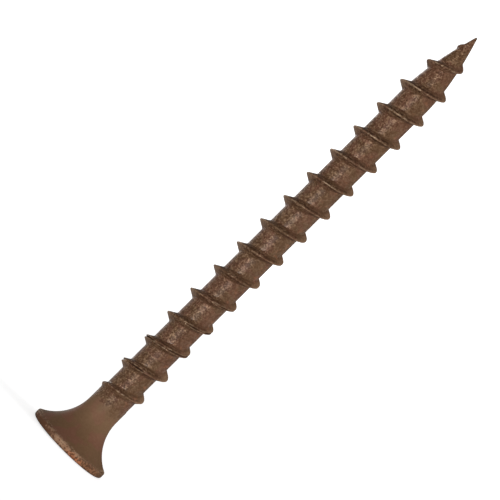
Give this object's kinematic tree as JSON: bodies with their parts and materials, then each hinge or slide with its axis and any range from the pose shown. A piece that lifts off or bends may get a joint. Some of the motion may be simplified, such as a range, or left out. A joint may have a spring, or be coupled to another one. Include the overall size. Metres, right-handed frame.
{
  "type": "drywall screw",
  "caption": "Drywall screw with a flat-faced bugle head, a cross recess, a coarse right-hand thread and a sharp gimlet point, in brown phosphated steel. It stands on its head.",
  "frame": {"origin": "middle of the flat face of the head, which the screw stands on", "axes": "+Z along the screw from the head to the point, +X along one wing of the cross recess"},
  "size_m": [0.008, 0.008, 0.05],
  "materials": {
    "phosphated_steel": "brown phosphate over hardened steel, satin and slightly mottled"
  },
  "bodies": {
    "root": {"drywall_screw": "phosphated_steel"}
  },
  "joints": []
}
